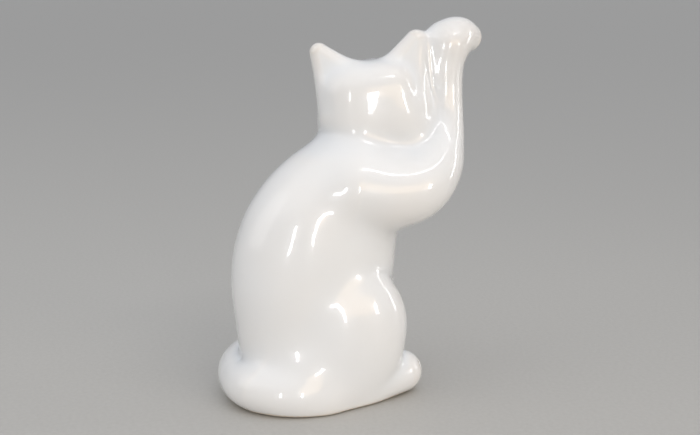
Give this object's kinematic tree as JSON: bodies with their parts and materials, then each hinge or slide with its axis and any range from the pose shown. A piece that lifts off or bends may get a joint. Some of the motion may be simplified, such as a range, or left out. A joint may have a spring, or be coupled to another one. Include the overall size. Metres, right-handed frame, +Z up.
{
  "type": "ceramic cat figurine",
  "caption": "Seated beckoning cat in glossy white glazed ceramic, hollow cast, right foreleg raised beside the turned head, tail rolled round the rump.",
  "frame": {"origin": "under the middle of the figure's bounding box, on the surface it stands on", "axes": "+Z up; the cat's body faces -Y, its right side is -X and its left side, where the head is turned, is +X"},
  "size_m": [0.1018, 0.1902, 0.2598],
  "materials": {
    "white_glaze": "gloss"
  },
  "bodies": {
    "root": {"torso": "white_glaze", "head": "white_glaze", "left_ear": "white_glaze", "right_ear": "white_glaze", "raised_foreleg": "white_glaze", "left_foreleg": "white_glaze", "right_hind_foot": "white_glaze", "left_hind_foot": "white_glaze", "tail": "white_glaze"}
  },
  "joints": []
}
